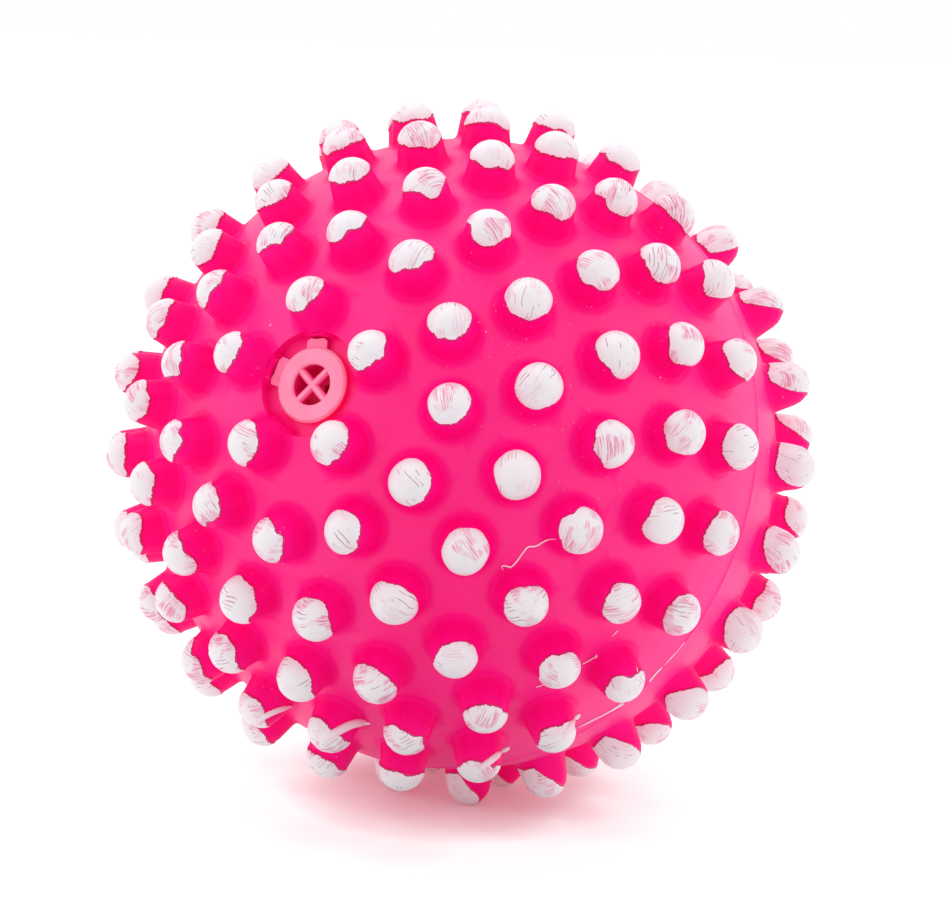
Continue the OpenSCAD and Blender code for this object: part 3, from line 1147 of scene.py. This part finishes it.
        s = np.linspace(0.0, self.farthest, self.edge_samples)
        across, high, _ = profile.along(s)
        towards = across * np.cos(turn[None, :, None] - away[:, None, None])
        plane = middle[:, None, None] - towards * slope[:, None, None]
        over = high - np.maximum(plane, self.lowest)
        edge = s[np.argmax(over < 0.0, axis=-1)]

        waves = np.arange(*self.waves)
        size = random.normal(0.0, self.wave_spread, (count, len(waves))) / waves**self.wave_fall
        phase = random.uniform(0.0, 2 * np.pi, size.shape)
        uneven = (size[:, None, :] * np.sin(turn[None, :, None] * waves + phase[:, None, :])).sum(-1)
        return away, np.maximum(edge + uneven, self.least_edge)


@dataclass(frozen=True)
class PlugFinish(MouldedFinish):
    """Pale pink plastic, rosier in soft patches and crimson inside the mouth, where the vinyl shines through.
    """

    name: str = "pale_pink_plastic"
    colour: Colour = (1.0, 0.30, 0.49, 1.0)
    shade: Colour = (1.0, 0.25, 0.43, 1.0)
    roughness: float = 0.45
    grain: Grain = Grain(900.0, 3.0, 0.12, 0.00008)
    inside: Colour = (1.0, 0.002, 0.22, 1.0)
    axis: Place = (0.0, 0.0, 1.0)
    face: float = 0.0
    depth: float = 0.9
    shallow_share: float = 0.4

    def surface(self, tree: Coating) -> Socket:
        """Colour of the plastic, which changes with the depth under the plug's face."""
        aim = tree.node("VectorMath", operation="DOT_PRODUCT", in_0=tree.place(), in_1=self.axis)
        deepest = (self.face - self.depth) * MM
        shallow = (self.face - self.shallow_share * self.depth) * MM
        outer = tree.step(aim.outputs["Value"], deepest, shallow)
        return tree.blend(outer, self.inside, super().surface(tree))


@dataclass
class Squeaker:
    """The plug with its reed: the CAD solids in moulded plastic."""

    plug: PlugFinish
    holder: MouldedFinish = MouldedFinish(
        "crimson_plastic", (1.0, 0.002, 0.2, 1.0), (1.0, 0.001, 0.16, 1.0), 0.45
    )
    reed: MouldedFinish = MouldedFinish("reed_strip", (0.8, 0.82, 0.86, 1.0), (0.72, 0.75, 0.8, 1.0), 0.25)

    def dress(self, nodes: dict[str, Piece]) -> None:
        """Gives each solid its finish."""
        finishes = {
            "squeaker_plug": self.plug.material(),
            "reed_holder": self.holder.material(),
            "reed_tongue": self.reed.material(),
        }
        finishes["reed_wedge"] = finishes["reed_holder"]
        for name, finish in finishes.items():
            nodes[name].data.materials.clear()
            nodes[name].data.materials.append(finish)
            LOG.info("%s dressed", name)


@dataclass(frozen=True)
class PhotoCamera:
    """The camera at the photograph's place: distance, angles and where the ball's middle falls."""

    distance: float = 366.0
    elevation: float = 11.03
    roll: float = -1.90
    heading: float = 0.52
    focal_pixels: float = 2567.0
    frame_wide: float = 945.0
    frame_high: float = 900.0
    middle_x: float = 460.9
    middle_y: float = 453.5
    sensor: float = 36.0
    clip: Limits = (0.01, 10.0)

    def axes(self) -> Array:
        """Camera's right, up and back directions as columns."""
        e, r = np.radians(self.elevation), np.radians(self.roll)
        right = np.array([1.0, 0.0, 0.0])
        up = np.array([0.0, np.sin(e), np.cos(e)])
        back = np.array([0.0, -np.cos(e), np.sin(e)])
        rolled_right = np.cos(r) * right - np.sin(r) * up
        rolled_up = np.sin(r) * right + np.cos(r) * up
        return turn_z(self.heading) @ np.stack([rolled_right, rolled_up, back], axis=1)

    def rays(self, pixels: Array) -> Pair:
        """Rays through pixels of the photograph.

        Args:
            pixels: Rows of (x, y) from the photograph's upper left corner.

        Returns:
            The camera's place and the rays' unit directions.
        """
        right, up, back = self.axes().T
        across = (pixels[:, :1] - self.middle_x) / self.focal_pixels
        down = (pixels[:, 1:] - self.middle_y) / self.focal_pixels
        return back * self.distance, unit(across * right - down * up - back)

    def build(self) -> Piece:
        """Makes the camera and gives it to the scene."""
        data = bpy.data.cameras.new("photo_camera")
        data.sensor_width = self.sensor
        data.lens = self.sensor * self.focal_pixels / self.frame_wide
        data.shift_x = (self.frame_wide / 2 - self.middle_x) / self.frame_wide
        data.shift_y = (self.middle_y - self.frame_high / 2) / self.frame_wide
        data.clip_start, data.clip_end = self.clip
        axes = self.axes()
        camera = set_up("photo_camera", data, axes, axes[:, 2] * self.distance * MM)
        bpy.context.scene.camera = camera
        return camera


@dataclass(frozen=True)
class PaintRun:
    """A thread or a drop of paint on the bare vinyl, followed on the photograph in pixels."""

    name: str
    pixels: tuple[Spot, ...]
    width: float = 0.17


@dataclass
class PaintRuns:
    """Threads and drops that the brush left between the nubs."""

    sizes: BallSizes
    camera: PhotoCamera
    finish: MouldedFinish = MouldedFinish("paint_thread", (0.88, 0.78, 0.83, 1.0), (0.9, 0.62, 0.73, 1.0))
    steps: int = 8
    sides: int = 8
    flat: float = 0.55
    lift: float = 0.05
    longest: float = 1.5
    fewest: int = 4
    end_share: float = 0.2
    end_level: float = 0.15
    runs: tuple[PaintRun, ...] = (
        PaintRun(
            "web",
            (
                (556, 539), (547, 540), (536, 546), (528, 547), (522, 554),
                (517, 561), (511, 567), (506, 566), (502, 566), (503, 570),
            ),
            0.2,
        ),
        PaintRun("upper_stroke", ((612, 636), (618, 630))),
        PaintRun("middle_stroke", ((582, 664), (588, 661), (595, 657))),
        PaintRun("middle_drop", ((595, 656), (597, 657)), 0.5),
        PaintRun("lower_stroke", ((536, 687), (542, 685), (548, 683))),
        PaintRun("left_stroke", ((440, 651), (446, 655))),
        PaintRun("right_stroke", ((636, 666), (639, 678))),
        PaintRun("seam_thread", ((572, 730), (590, 721), (608, 712), (637, 696)), 0.4),
        PaintRun("upper_seam_thread", ((610, 711), (626, 700), (639, 690)), 0.3),
        PaintRun("seam_stroke", ((648, 683), (654, 675), (662, 667)), 0.45),
        PaintRun("far_seam_stroke", ((664, 665), (676, 652), (687, 638)), 0.25),
        PaintRun("lowest_tail", ((478, 770), (490, 761), (500, 753), (508, 747)), 1.0),
        PaintRun("seam_tail", ((562, 739), (567, 731), (573, 722), (578, 714)), 1.0),
        PaintRun("left_tail", ((324, 741), (335, 733), (348, 726), (358, 723), (370, 723)), 1.2),
        PaintRun("far_left_tail", ((252, 726), (262, 718), (276, 711), (292, 706)), 0.9),
    )

    def build(self) -> Piece:
        """Makes all threads as one piece."""
        sheet = Sheet()
        for run in self.runs:
            self._thread(sheet, run)
        piece = sheet.piece("paint_runs", np.eye(3))
        piece.data.materials.append(self.finish.material())
        return piece

    def _thread(self, sheet: Sheet, run: PaintRun) -> None:
        """Adds a thread, in parts where it passes from a nub to the ball behind it."""
        start, ray = self.camera.rays(self._smooth(np.array(run.pixels, float)))
        line, out = NubProfile(self.sizes).first_hit(start, ray, NubField.lying(self.sizes))
        breaks = np.flatnonzero(np.linalg.norm(np.diff(line, axis=0), axis=1) > self.longest) + 1
        for part, normal in zip(np.split(line, breaks), np.split(out, breaks)):
            if len(part) >= self.fewest:
                self._tube(sheet, part + self.lift * normal, normal, run.width)
                LOG.info("%s: a run of %d points", run.name, len(part))

    def _tube(self, sheet: Sheet, line: Array, out: Array, wide: float) -> None:
        """Adds a flat tube c(u) + w(u) (cos a side + f sin a out) that thins out at both ends.

        Args:
            sheet: Where the tube goes.
            line: Its middle line c.
            out: The skin's normals along the line.
            wide: Its full width.
        """
        side = unit(np.cross(np.gradient(line, axis=0), out))
        u = np.linspace(0.0, 1.0, len(line))
        level = np.clip(np.minimum(u, 1.0 - u) / self.end_share, self.end_level, 1.0)
        width = 0.5 * wide * np.sqrt(level)
        a = once_round(self.sides)
        ring = np.cos(a)[:, None] * side[:, None] + self.flat * np.sin(a)[:, None] * out[:, None]
        sheet.capped(line[:, None] + width[:, None, None] * ring, line[0], line[-1])

    def _smooth(self, spots: Array) -> Array:
        """Catmull-Rom curve through points: cubic legs whose slope at a point follows its neighbours.

        Args:
            spots: The points.

        Returns:
            Points of the curve, each leg in equal steps.
        """
        p = np.concatenate([2 * spots[:1] - spots[1:2], spots, 2 * spots[-1:] - spots[-2:-1]])[:, None]
        t = np.linspace(0.0, 1.0, self.steps, endpoint=False)[None, :, None]
        p0, p1, p2, p3 = p[:-3], p[1:-2], p[2:-1], p[3:]
        square = (2 * p0 - 5 * p1 + 4 * p2 - p3) * t**2
        cube = (3 * p1 - p0 - 3 * p2 + p3) * t**3
        legs = 0.5 * (2 * p1 + (p2 - p0) * t + square + cube)
        return np.concatenate([legs.reshape(-1, spots.shape[1]), spots[-1:]])


@dataclass(frozen=True)
class Studio:
    """A white floor that glows a little, with a painted contact shadow and painted pink bounce light near the
    ball, soft light from all round and a large lamp overhead.

    The places, the lamp's size and the reaches are in metres.
    """

    floor_level: float
    sky: float = 1.2
    front_dim: float = 0.45
    front: Limits = (-0.1, 0.5)
    dark_sides: Limits = (0.12, 0.5)
    floor_white: float = 0.3
    floor_glow: float = 0.82
    floor_reach: float = 3.0
    # Reach and lowest glow of the painted contact shadow on the floor
    contact_shadow_reach: float = 0.011
    contact_shadow_level: float = 0.46
    bounce: Colour = (0.97, 0.22, 0.32, 1.0)
    lamp_place: Place = (-0.2, 0.15, 0.8)
    lamp_size: float = 0.7
    lamp_power: float = 1.3

    def build(self) -> None:
        """Makes the floor, the lamp and the world."""
        self._floor()
        self._world()
        self._lamp()
        bpy.context.scene.view_settings.view_transform = "Standard"

    def _floor(self) -> None:
        """A wide flat floor under the ball, whose glow dims and turns pink near the ball as a painted contact
        shadow and painted bounce light.
        """
        r = self.floor_reach / MM
        sheet = Sheet()
        square = np.array([[-r, -r, 0.0], [r, -r, 0.0], [r, r, 0.0], [-r, r, 0.0]])
        corners = sheet.add(square + [0.0, 0.0, self.floor_level / MM])
        sheet.faces.append(corners[None, :])
        floor = sheet.piece("floor", np.eye(3))
        tree = Coating("white_floor")
        place = tree.node("NewGeometry").outputs["Position"]
        aim = tree.node("VectorMath", operation="NORMALIZE", in_0=place).outputs[0]
        unseen = tree.rest(tree.node("LightPath").outputs["Is Camera Ray"])
        lit = tree.rest(tree.times(unseen, self._dark_gap(tree, aim)))
        # Painted contact shadow and painted bounce: near the ball the floor's glow dims with ambient
        # occlusion and turns pink.
        unshadowed = tree.node("AmbientOcclusion", Distance=self.contact_shadow_reach).outputs["AO"]
        level = tree.math("MULTIPLY_ADD", unshadowed, 1.0 - self.contact_shadow_level, self.contact_shadow_level)
        tree.material.cycles.emission_sampling = "NONE"
        white = (self.floor_white, self.floor_white, self.floor_white, 1.0)
        floor.data.materials.append(
            tree.dress(
                Base_Color=tree.blend(lit, BLACK, white),
                Roughness=0.8,
                Specular_IOR_Level=0.1,
                Emission_Color=tree.blend(unshadowed, self.bounce, WHITE),
                Emission_Strength=tree.times(lit, level, self.floor_glow),
            )
        )

    def _world(self) -> None:
        """White for the camera and, as light, white all round but for the gap at the camera."""
        world = bpy.data.worlds.new("studio")
        world.use_nodes = True
        bpy.context.scene.world = world
        tree = NodeTree(world.node_tree)
        back = world.node_tree.nodes["Background"]
        back.inputs["Color"].default_value = WHITE
        rays = tree.node("LightPath")
        aim = tree.node("TexCoord").outputs["Generated"]
        lit = tree.times(tree.rest(self._dark_gap(tree, aim)), self.sky)
        seen = tree.node("Mix", in_0=rays.outputs["Is Camera Ray"], in_2=lit, in_3=1.0)
        tree.feed(back, "Strength", seen.outputs[0])
        world.cycles.sampling_method = "NONE"

    def _dark_gap(self, tree: NodeTree, aim: Socket) -> Socket:
        """Share of light that is missing in a direction: the gap between the side lights, at the camera.

        Args:
            tree: Where the nodes go.
            aim: Direction from the ball.

        Returns:
            0 at the sides and behind, up to front_dim in the gap.
        """
        part = tree.node("SeparateXYZ", Vector=aim)
        front = tree.step(tree.times(part.outputs["Y"], -1.0), *self.front)
        beside = tree.step(tree.math("ABSOLUTE", part.outputs["X"]), *self.dark_sides)
        return tree.times(front, tree.rest(beside), self.front_dim)

    def _lamp(self) -> None:
        """A square lamp overhead that looks at the ball's middle."""
        data = bpy.data.lights.new("top_lamp", "AREA")
        data.size = self.lamp_size
        data.energy = self.lamp_power
        back = unit(np.array(self.lamp_place))
        side = unit(np.cross([0.0, 1.0, 0.0], back))
        axes = np.stack([side, np.cross(back, side), back], axis=1)
        set_up("top_lamp", data, axes, np.array(self.lamp_place))


def main() -> None:
    """Builds the pieces in order, hangs them on the ball's body and hides the CAD solids that they stand in
    for.
    """
    logging.basicConfig(level=logging.INFO, format="%(message)s")
    sizes = BallSizes()
    vinyl = VinylFinish()
    camera = PhotoCamera()
    camera.build()

    skin = BallSkin(sizes, vinyl).build()
    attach(skin, BODY)
    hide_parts("ball_shell")
    LOG.info("ball_skin: %d faces", len(skin.data.polygons))

    coats = PaintCoats(sizes, PaintFinish(vinyl)).build()
    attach(coats, BODY)
    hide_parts("paint_tips")
    LOG.info("paint_coats: %d faces", len(coats.data.polygons))

    runs = PaintRuns(sizes, camera).build()
    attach(runs, BODY)
    LOG.info("paint_runs: %d faces", len(runs.data.polygons))

    along = sizes.attitude() @ [0.0, 0.0, 1.0]
    Squeaker(PlugFinish(axis=tuple(along), face=sizes.plug_face)).dress(frame["nodes"])
    Studio(floor_level=cad_box[0][2]).build()


if __name__ == "__main__":
    main()
